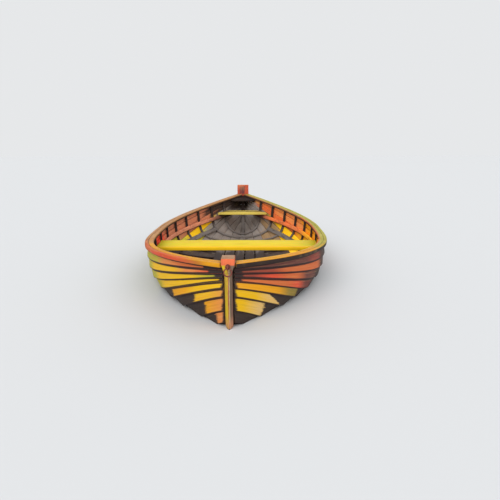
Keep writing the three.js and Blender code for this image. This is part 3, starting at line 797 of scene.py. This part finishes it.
STARBOARD_COATS = [
    Coat(
        (("lime", 0), ("apricot", 1.42), ("orange", 1.62)), (0.016, 0.015), 0.11,
        (("tar", -2), ("brick", -1.25), ("coral", 0.0), ("tar", FOOTWELL)),
    ),
    Coat(
        (("lime", 0), ("gold", 1.2), ("apricot", 1.66), ("coral", 1.83)), (0.018, 0.016), 0.08,
        (("tar", -2), ("brick", -1.25), ("coral", -0.1), ("tar", FOOTWELL)),
    ),
    Coat(
        (("lime", 0), ("gold", 1.3), ("lime", 1.82)), (0.012, 0.012), 0.045,
        (("tar", -2), ("brick", -1.25), ("lime", -0.4), ("tar", 0.05)),
    ),
    Coat(
        (("lime", 0), ("gold", 1.35)), (0.019, 0.018), 0.02,
        (("ash", -2), ("gold", -1.4), ("lime", -0.7), ("tar", BOTTOM_WELL)),
    ),
    Coat(
        (("amber", 0), ("gold", 1.72)), (0.018, 0.017), 0.008,
        (("ash", -2), ("lime", -1.2), ("tar", BOTTOM_WELL)), 1.5,
    ),
    Coat((("gold", 0), ("apricot", 1.91)), (0.017, 0.016), 0.006, BOTTOM_INSIDE, 1.74),
    Coat((("amber", 0), ("apricot", 1.88)), (0.015, 0.014), 0.006, BOTTOM_INSIDE, 1.8),
    Coat((("apricot", 0),), (0.008, 0.008), 0.006, BOTTOM_INSIDE, 1.86),
    TARRED,
]
COATS = {"port": PORT_COATS, "starboard": STARBOARD_COATS}

UNEVEN_ENDS = (0, 0.09, -0.07)  # keeps the inside paints of neighbouring strakes from ending in line
# Abaft these x and above these z the inside darkens to the tar colour:
# painted shade in the stern's inner corner
SHUT_IN = {"port": (-1.9, -1.86), "starboard": (-1.75, -1.6)}
SHUT_IN_Z = (0.2, 0.25)
INSIDE_SHARES = (0, 0.08, 0.4, 0.7, 0.92)  # where a strake's inner face has points, from its lap up
OUTSIDE_SHARES = (0.08, 0.3, 0.55, 0.8)  # and its outer face, from the land down
OUTER_FROM = 8  # points of a strake's ring before this one are on its inner face and top
LAP_SHARE = 0.6  # the most of a strake's inner face that its lap takes
FOOT_ROOM = 0.45  # the most of a face that the foot's rounding takes


def rounded_foot(inner_foot, at_land, outer_foot, radius=0.0035, count=4):
    """The outer bottom corner as points on an arc, from the outer face round to the plank's lower edge"""
    to_land = at_land - outer_foot
    to_inner = inner_foot - outer_foot
    room = np.minimum(radius, FOOT_ROOM * np.linalg.norm(to_land, axis=1, keepdims=True))
    start = outer_foot + unit(to_land) * room
    end_room = np.minimum(room, FOOT_ROOM * np.linalg.norm(to_inner, axis=1, keepdims=True))
    end = outer_foot + unit(to_inner) * end_room
    points = []
    for t in np.linspace(0, 1, count):
        points.append((1 - t) ** 2 * start + 2 * (1 - t) * t * outer_foot + t * t * end)
    return points


def strake_rings(k, corners):
    """Strake k on the port side as rings, from the inner foot up the inner face and down the outer one"""
    inner_foot, inner_top, outer_top, at_land, outer_foot = corners
    foot = rounded_foot(inner_foot, at_land, outer_foot)
    across = [lerp(at_land, foot[0], t) for t in OUTSIDE_SHARES]
    lap = lap_above(k - 1) if k > 1 else LAP
    lap = np.minimum(lap / np.linalg.norm(inner_top - inner_foot, axis=1, keepdims=True), LAP_SHARE)
    inside = [lerp(inner_foot, inner_top, lerp(lap, 1, t)) for t in INSIDE_SHARES]
    for end in (0, -1):
        inside[1][end] = lerp(inside[0][end], inside[1][end], INSIDE_SHARES[1])
        for point in inside[1:]:
            point[end, 1] = HALF_SIDING + GAP
    rings = np.stack([inner_foot, *inside, inner_top, outer_top, at_land, *across, *foot], axis=1)
    breadths = rings[:, :, 1]
    breadths[breadths < HALF_SIDING + BESIDE_POST] = HALF_SIDING + SNUG
    return rings


def strake_mesh(k, side):
    """Strake k of a side, with its coat kept on the mesh for the materials"""
    corners = strake_corners(k)
    inner_foot, _, _, at_land, outer_foot = corners
    rings = strake_rings(k, corners)
    count = rings.shape[1]
    face = np.linalg.norm(at_land - outer_foot, axis=1)[:, None]
    outside = np.arange(count) >= OUTER_FROM
    start = np.where(outside[None, :, None], outer_foot[:, None], inner_foot[:, None])
    height = np.linalg.norm(rings - start, axis=2)
    height[:, -2:] = 0  # at the end of the foot's rounding, on the plank's lower edge
    x = rings[:, :, 0]
    girth = np.clip(height / face, 0, 1)
    place = np.stack([x, height, k - 1 + girth], axis=2)

    coat = COATS[side][STRAKES - k]
    above = COATS[side][max(STRAKES - k - 1, 0)]
    from_middle = np.abs(x)
    shut_in = np.interp(x, SHUT_IN[side], [1, 0]) * np.interp(rings[:, :, 2], SHUT_IN_Z, [0, 1])

    def coat_at(ahead):
        inner = INSIDE_TONE * paint_along(coat.inside, x + ahead + UNEVEN_ENDS[k % 3])
        outer = OUTSIDE_TONE * paint_along(coat.outside, from_middle + ahead)
        return np.where(outside[None, :, None], outer, lerp(inner, np.array(TAR_AND_SHADE), shut_in[:, :, None]))

    paint = coat_at(0)
    below_lap = np.where(outside, np.linalg.norm(rings - at_land[:, None], axis=2), np.abs(height - LAP))
    from_post = np.abs(x[[0, -1]]).mean(axis=0)[None] - from_middle
    past_tar = from_middle - coat.tar_to - coat.slant * (height - face / 2)
    marks = np.stack([np.where(outside, past_tar, 1), below_lap, from_post - coat.recess], axis=2)
    to_post = np.abs(station_u)[:, None] ** 2
    upper_half = place[:, :, 2] - (k - 1) > 0.5
    seam = np.where(upper_half, lerp(*above.seam, to_post), lerp(*coat.seam, to_post))
    streak = streaked(paint, coat_at(STREAK_REACH))
    values = {"place": place, "paint": paint, "streak": streak, "marks": marks, "seam": seam}
    inner_faces = {*range(OUTER_FROM - 1), count - 1}
    materials = [1 if j in inner_faces else 0 for j in range(count)]
    piece = sweep(f"{side}_strake_{k}", rings * MIRROR[side], 40, values, materials)
    piece.data.materials.append(MATERIALS["planking_outside"])
    piece.data.materials.append(MATERIALS["planking_inside"])
    return piece


def dress(piece, slot, *nodes, body="hull"):
    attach(piece, body)
    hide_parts(*nodes)


SCARFED = 4  # the strake that is of two lengths
TOP_LOWER = 5  # the highest strake of the lower planking
for side in COATS:
    for k in range(1, STRAKES + 1):
        node = f"strake_{side}_{k}"
        nodes = [f"{node}_aft", f"{node}_fore"] if k == SCARFED else [node]
        slot = "lower_planking" if k <= TOP_LOWER else f"{side}_planking"
        dress(strake_mesh(k, side), slot, *nodes)


# Rails

# Their paints from stern to bow, by band: along the inner and the outer edge, and down the outer face.
# The tar colour on the port rail's face is painted shade where the side turns from the light.
RAIL_BANDS = {
    "port": {
        "inner": (("tan", -2), ("orange", -0.6), ("amber", 1.0), ("gold", 1.3)),
        "outer": (("lime", -2), ("amber", 1.2)),
        "face": (("lime", -2), ("tar", 0.75)),
    },
    "starboard": {
        "inner": (("tan", -2), ("amber", 0.95)),
        "outer": (("tan", -2), ("orange", 0.9), ("coral", 1.5), ("amber", 1.75)),
        "face": (("tan", -2), ("orange", 0.6), ("coral", 1.3), ("orange", 1.72), ("amber", 1.85)),
    },
}
OUTER_BAND = {"port": -0.026, "starboard": -0.006}  # where the outer band starts, across the rail
GROOVE_DARK = {"port": (0.2, 0.1), "starboard": (0.3, 0.1)}  # how dark the groove is, aft and at the bow
GROOVE_FADES = (0.8, 1.3)  # the x between
RAIL_ROUND = 0.0045
HEAD_CLEARANCE = 0.001


def arc(centre, start, end, radius=RAIL_ROUND, count=4):
    angles = np.radians(np.linspace(start, end, count))
    return [(centre[0] + radius * math.cos(a), centre[1] + radius * math.sin(a)) for a in angles]


def rail_rings():
    """The port rail as rings, and its place for the grain: along it, across it and up it"""
    corners = strake_corners(STRAKES)
    inner, edge, lip_foot = corners[1], corners[2], corners[3]
    along = ALONG[STRAKES]
    out = unit(np.stack([-along[:, 1], along[:, 0], np.zeros(len(along))], axis=1))
    inboard, depth, lip = RAIL["inboard"], RAIL["depth"], RAIL["lip"]
    outboard = RAIL["outboard"] - HAIR
    top = depth - RAIL_ROUND
    slope = 0.0008
    floor = depth - GROOVE["depth"]
    profile = [(-inboard, GAP)]
    profile += arc((-inboard + RAIL_ROUND, top), 180, 90)
    start, stop = GROOVE["inner"], GROOVE["outer"]
    profile += [(OUTER_BAND["port"], depth), (start - 0.001, depth), (start, depth - slope)]
    profile += [(start + slope, floor), (stop - slope, floor)]
    profile += [(stop, depth - slope), (stop + 0.001, depth), (0.006, depth)]
    profile += arc((outboard - RAIL_ROUND, top), 90, 0)
    profile += arc((outboard - RAIL_ROUND, -lip + RAIL_ROUND), 0, -90)
    ring = [edge + out * o + np.array([0, 0, z]) for o, z in profile]
    ring += [lip_foot + out * GAP, edge + np.array([0, 0, GAP]), inner + np.array([0, 0, GAP])]
    rings = np.stack(ring, axis=1)
    rings[:, :, 1] = np.maximum(rings[:, :, 1], GAP)
    offsets = profile + [(GAP, -lip), (0, 0), (-0.012, 0)]
    place = np.zeros(rings.shape)
    place[:, :, 0] = rings[:, :, 0]
    place[:, :, 1:] = offsets
    return rings, place


def head_cutter(end):
    """A block larger than a post's head by the clearance, which cuts the rails where they meet it"""
    head = BOW_HEAD if end > 0 else STERN_HEAD
    z = sheer(end)
    x = POST_X + POST_RAKE * z
    half = head["width"] / 2 + HEAD_CLEARANCE
    inner_end = (end * (x - head["behind"] - HEAD_CLEARANCE), -half, z - RAIL["lip"] - 0.002)
    outer_end = (end * (x + head["ahead"] + 0.02), half, z + RAIL["depth"] + head["rise"] + 0.01)
    low, high = np.sort([inner_end, outer_end], axis=0)
    block = bmesh.new()
    bmesh.ops.create_cube(block, size=1)
    for vertex in block.verts:
        vertex.co = lerp(low, high, np.array(vertex.co) + 0.5)
    return made_object("cutter", mesh_of(block, "cutter"))


def cut_away(piece, cutter):
    modifier = piece.modifiers.new("cut", "BOOLEAN")
    modifier.operation = "DIFFERENCE"
    modifier.solver = "EXACT"
    modifier.object = cutter
    graph = bpy.context.evaluated_depsgraph_get()
    mesh = bpy.data.meshes.new_from_object(piece.evaluated_get(graph))
    piece.modifiers.clear()
    piece.data = mesh
    bpy.data.objects.remove(cutter)


def band_paint(columns, x):
    return np.stack([paint_along(paints, along) for paints, along in zip(columns, x.T)], axis=1)


def band_of(side, across, level):
    if across < OUTER_BAND[side]:
        return "inner"
    return "face" if level < RAIL["depth"] - 0.003 and across > 0 else "outer"


rings, place = rail_rings()
x = place[:, :, 0]
for side, bands in RAIL_BANDS.items():
    columns = [bands[band_of(side, *offsets)] for offsets in place[0, :, 1:]]
    paint = band_paint(columns, x)
    streak = streaked(paint, band_paint(columns, x + STREAK_REACH))
    seam = lerp(*GROOVE_DARK[side], np.interp(x, GROOVE_FADES, [0, 1]))
    values = {"place": place, "paint": paint * RAIL_TONE, "streak": streak * RAIL_TONE, "seam": seam}
    rail = sweep(f"{side}_rail", rings * MIRROR[side], 40, values)
    rail.data.materials.append(MATERIALS["rail_paint"])
    for end in (1, -1):
        cut_away(rail, head_cutter(end))
    dress(rail, "rail_paint", f"rail_{side}")


# Timbers that keep the solids' shape, with rounded edges


def bevel(shell, edges, width, segments, clamp):
    bmesh.ops.bevel(
        shell, geom=edges, offset=width, offset_type="OFFSET", segments=segments, profile=0.5,
        affect="EDGES", clamp_overlap=clamp,
    )


def soften(node, material, grain, slot=None, values=None, width=0.003, segments=2, finish="worn"):
    """Stands a copy with rounded edges for a solid. grain gives the place along, across and through it."""
    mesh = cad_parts[node].data.copy()
    shell = bmesh.new()
    shell.from_mesh(mesh)
    bmesh.ops.remove_doubles(shell, verts=shell.verts, dist=1e-5)
    bmesh.ops.dissolve_limit(shell, angle_limit=math.radians(0.4), verts=shell.verts, edges=shell.edges)
    sharp = [e for e in shell.edges if len(e.link_faces) == 2 and e.calc_face_angle(0) > math.radians(22)]
    bevel(shell, sharp, width, segments, clamp=True)
    shell.to_mesh(mesh)
    shell.free()
    mesh.name = f"{node}_{finish}"
    mesh.materials.clear()
    mesh.materials.append(MATERIALS[material])
    shade(mesh, 38)
    values = {"place": grain, **(values or {})}
    keep_values(mesh, {key: [value(v.co) for v in mesh.vertices] for key, value in values.items()})
    dress(made_object(mesh.name, mesh), slot or material, node)


def fore_and_aft(co):
    return co.x, co.z, co.y


def athwartships(co):
    return co.y, co.x, co.z


def upright(co):
    return co.z, co.y, co.x


def as_it_lies(co):
    return co[:]


def girth_grain(seed):
    """Along a rib, which bends with the planking. The seed gives each rib its own strokes."""
    return lambda co: (abs(co.y) + 1.3 * co.z + seed, co.x, co.z * 0.3 + seed)


def timber_paint(co):
    """Tar, and grey where dirt lies in the bilge abaft the bow thwart and up in the stern. The grey is
    paler in the stern, painted light, and forward of the grey the tar is painted shade under the bow thwart
    """
    in_stern = np.interp(co.x, DIRT_RISES, [1, 0])
    dirt_top = BILGE_Z + STERN_DIRT * in_stern
    dirty = np.interp(co.z, [dirt_top, dirt_top + 0.05], [1, 0])
    dirty *= np.interp(co.x, [*DIRT_ENDS, BOTTOM_WELL - 0.2, BOTTOM_WELL], [0, 1, 1, 0])
    return lerp(np.array(TAR_AND_SHADE), lerp(np.array(PAINT["slate"]), np.array(PAINT["ash"]), in_stern), dirty)


def soften_dark(node, grain, paint=timber_paint):
    soften(node, "dark_timber", grain, values={"paint": paint})


def riser_foot(x):
    return RISER["height"] + INNER_SHEER * (sheer(x / POST_X) - FREEBOARD) - RISER["depth"] / 2


# The tar colour at the risers' ends is painted shade, as on the planking inside
RISER_COATS = {
    "port": (("umber", -2), ("orange", -1.4), ("amber", -0.4), ("tar", FOOTWELL)),
    "starboard": (("tar", -2), ("brick", -1.3), ("tar", FOOTWELL)),
}

for node in sorted(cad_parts):
    if node.startswith("rib_"):
        soften_dark(node, girth_grain(int(node[-2:]) * 0.71))

for side, coat in RISER_COATS.items():
    riser_values = {
        "paint": lambda co: paint_along(coat, co.x) * INSIDE_TONE,
        "marks": lambda co: (0, co.z - riser_foot(co.x), 0),
    }
    soften(f"riser_{side}", "riser_paint", fore_and_aft, "dark_timber", riser_values)
    soften_dark(f"bilge_stringer_{side}", fore_and_aft)

for node in ("keel", "hog"):
    soften_dark(node, as_it_lies)

for end in ("bow", "stern"):
    # The breasthooks are painted near black, painted shade
    soften_dark(f"{end}_breasthook", athwartships, lambda co: SHADE_BLACK)
    soften(f"{end}_post", f"{end}_post_paint", upright, "post_paint")

fore_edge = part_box("bow_thwart")[1][0]
thwart_values = {"marks": lambda co: (fore_edge - co.x, 1, 0)}
soften("bow_thwart", "bow_thwart_paint", athwartships, "thwart_paint", thwart_values, 0.005, 3)


def stern_thwart_boards():
    """The stern thwart as two boards side by side, which share the solid's outline"""
    low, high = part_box("stern_thwart")
    middle = (low[0] + high[0]) / 2
    half_at = {round(v.co.x, 4): abs(v.co.y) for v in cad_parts["stern_thwart"].data.vertices}
    (aft, aft_half), (fore, fore_half) = sorted(half_at.items())
    shell = bmesh.new()
    for ends in ((aft, middle - THWART_SEAM / 2), (middle + THWART_SEAM / 2, fore)):
        halves = [lerp(aft_half, fore_half, (x - aft) / (fore - aft)) for x in ends]
        port = list(zip(ends, halves))
        outline = port + [(x, -y) for x, y in reversed(port)]
        rings = [[shell.verts.new((x, y, z)) for x, y in outline] for z in (low[2], high[2])]
        shell.faces.new(reversed(rings[0]))
        shell.faces.new(rings[1])
        for i in range(4):
            j = (i + 1) % 4
            shell.faces.new((rings[0][i], rings[0][j], rings[1][j], rings[1][i]))
    bmesh.ops.recalc_face_normals(shell, faces=shell.faces)
    bevel(shell, shell.edges[:], 0.004, 3, clamp=False)
    mesh = mesh_of(shell, "stern_thwart_boards")
    mesh.materials.append(MATERIALS["stern_thwart_paint"])
    shade(mesh, 38)
    marks = [(fore - v.co.x, abs(v.co.x - middle) - THWART_SEAM / 2, 0) for v in mesh.vertices]
    keep_values(mesh, {"place": [athwartships(v.co) for v in mesh.vertices], "marks": marks})
    return made_object("stern_thwart_boards", mesh)


dress(stern_thwart_boards(), "thwart_paint", "stern_thwart")


def board_grain(co):
    """Along the boards, and far from one board's strokes to the next one's"""
    return co.x, co.y + 3.7 * round(co.y / BOARD_PITCH), co.z


soften("floorboards", "grey_floorboards", board_grain, "grey_boards")
soften("bow_eyebolt", "rusted_iron", as_it_lies, width=0.0006, segments=1, finish="forged")


def forged_ring(steps=64, around=20):
    turns = np.linspace(0, 2 * np.pi, steps, endpoint=False)
    section = np.linspace(0, 2 * np.pi, around, endpoint=False)
    reach = RING["radius"] + (RING["wire"] - HAIR) * np.cos(section)
    rings = np.zeros((steps, around, 3))
    rings[:, :, 0] = RING["x"] + (RING["wire"] - HAIR) * np.sin(section)
    rings[:, :, 1] = np.outer(np.sin(turns), reach)
    rings[:, :, 2] = RING["z"] + np.outer(np.cos(turns), reach)
    piece = sweep("mooring_ring_forged", rings, 60, {"place": rings}, closed=True)
    piece.data.materials.append(MATERIALS["rusted_iron"])
    return piece


dress(forged_ring(), "rusted_iron", "mooring_ring", body="ring")


# Floor at the waterline, light and camera


def waterline_outline():
    """The planking's outline at the waterline, on the port side, from stern to bow"""
    outline = {}
    for k in range(1, STRAKES + 1):
        corners = strake_corners(k)
        for i, (low, high) in enumerate(zip(corners[4], corners[3])):
            if low[2] <= 0 < high[2]:
                x, y = lerp(low, high, low[2] / (low[2] - high[2]))[:2]
                outline[i] = max(outline.get(i, (x, 0)), (x, y), key=lambda point: point[1])
    return [outline[i] for i in sorted(outline)]


def water_level_floor(size=60.0):
    """A pale floor with a hole for the boat, which hides what lies below the waterline"""
    tip = (POST_X + CUTWATER - FLOOR_INTO, HALF_CUTWATER - FLOOR_INTO)
    post_side = (POST_X + POST_SHOULDER, HALF_SIDING - FLOOR_INTO)
    aft = [(-x, y) for x, y in (tip, post_side)]
    port = [*aft, *((x, y - FLOOR_INTO) for x, y in waterline_outline()), post_side, tip]
    hole = port + [(x, -y) for x, y in reversed(port)]
    rim = [(-size, -size), (size, -size), (size, size), (-size, size)]
    shell = bmesh.new()
    loops = []
    for points in (rim, hole):
        vertices = [shell.verts.new((x, y, 0)) for x, y in points]
        loops += [shell.edges.new((a, b)) for a, b in zip(vertices, vertices[1:] + vertices[:1])]
    bmesh.ops.triangle_fill(shell, edges=loops, use_beauty=True)
    floor = made_object("floor", mesh_of(shell, "floor"))
    pale = {"Base Color": (0.62, 0.628, 0.636), "Roughness": 0.85}
    floor.data.materials.append(new_material("pale_floor", lambda w: pale, specular=0))


water_level_floor()


def soft_light(name, source, strength, spread):
    """A wide, even light from the direction of source"""
    data = bpy.data.lights.new(name, "SUN")
    data.energy = strength
    data.angle = math.radians(spread)
    made_object(name, data).rotation_euler = Vector(source).to_track_quat("Z", "Y").to_euler()


soft_light("key", (0.75, -0.3, 0.6), 1.7, 50)
soft_light("fill", (0.6, 0.6, 0.5), 0.8, 60)
soft_light("back", (-0.7, 0.1, 0.5), 0.5, 60)


def studio_world(ambient=0.75, backdrop=0.818):
    """Even light from all round, and behind the boat the tone that the floor has"""
    world = bpy.data.worlds.new("studio")
    world.use_nodes = True
    w = Wiring(world.node_tree)
    seen = w.add("LightPath").outputs["Is Camera Ray"]
    background = world.node_tree.nodes["Background"]
    w.feed(background.inputs["Color"], (0.97, 0.985, 1.0))
    w.feed(background.inputs["Strength"], w.plus(ambient, w.times(seen, backdrop - ambient)))
    bpy.context.scene.world = world


studio_world()
bpy.context.scene.view_settings.view_transform = "Standard"

# Where the picture was seen from, with angles in degrees and the focal length in the picture's pixels
CAMERA = {"at": (4.542, 0.141, 1.028), "yaw": 0.428, "pitch": 12.038, "roll": -0.182, "focal_px": 475.73}
PICTURE_PX = 500
SENSOR_MM = 36


def place_camera():
    data = bpy.data.cameras.new("camera")
    data.sensor_width = SENSOR_MM
    data.lens = CAMERA["focal_px"] / PICTURE_PX * SENSOR_MM
    data.clip_end = 100
    yaw, pitch, roll = (math.radians(CAMERA[k]) for k in ("yaw", "pitch", "roll"))
    forward = Vector((-math.cos(pitch) * math.cos(yaw), -math.cos(pitch) * math.sin(yaw), -math.sin(pitch)))
    right = forward.cross(Vector((0, 0, 1))).normalized()
    up = right.cross(forward)
    turned_right = right * math.cos(roll) + up * math.sin(roll)
    turned_up = up * math.cos(roll) - right * math.sin(roll)
    axes = Matrix((turned_right, turned_up, -forward)).transposed()
    camera = made_object("camera", data)
    camera.matrix_world = Matrix.Translation(CAMERA["at"]) @ axes.to_4x4()
    bpy.context.scene.camera = camera


place_camera()
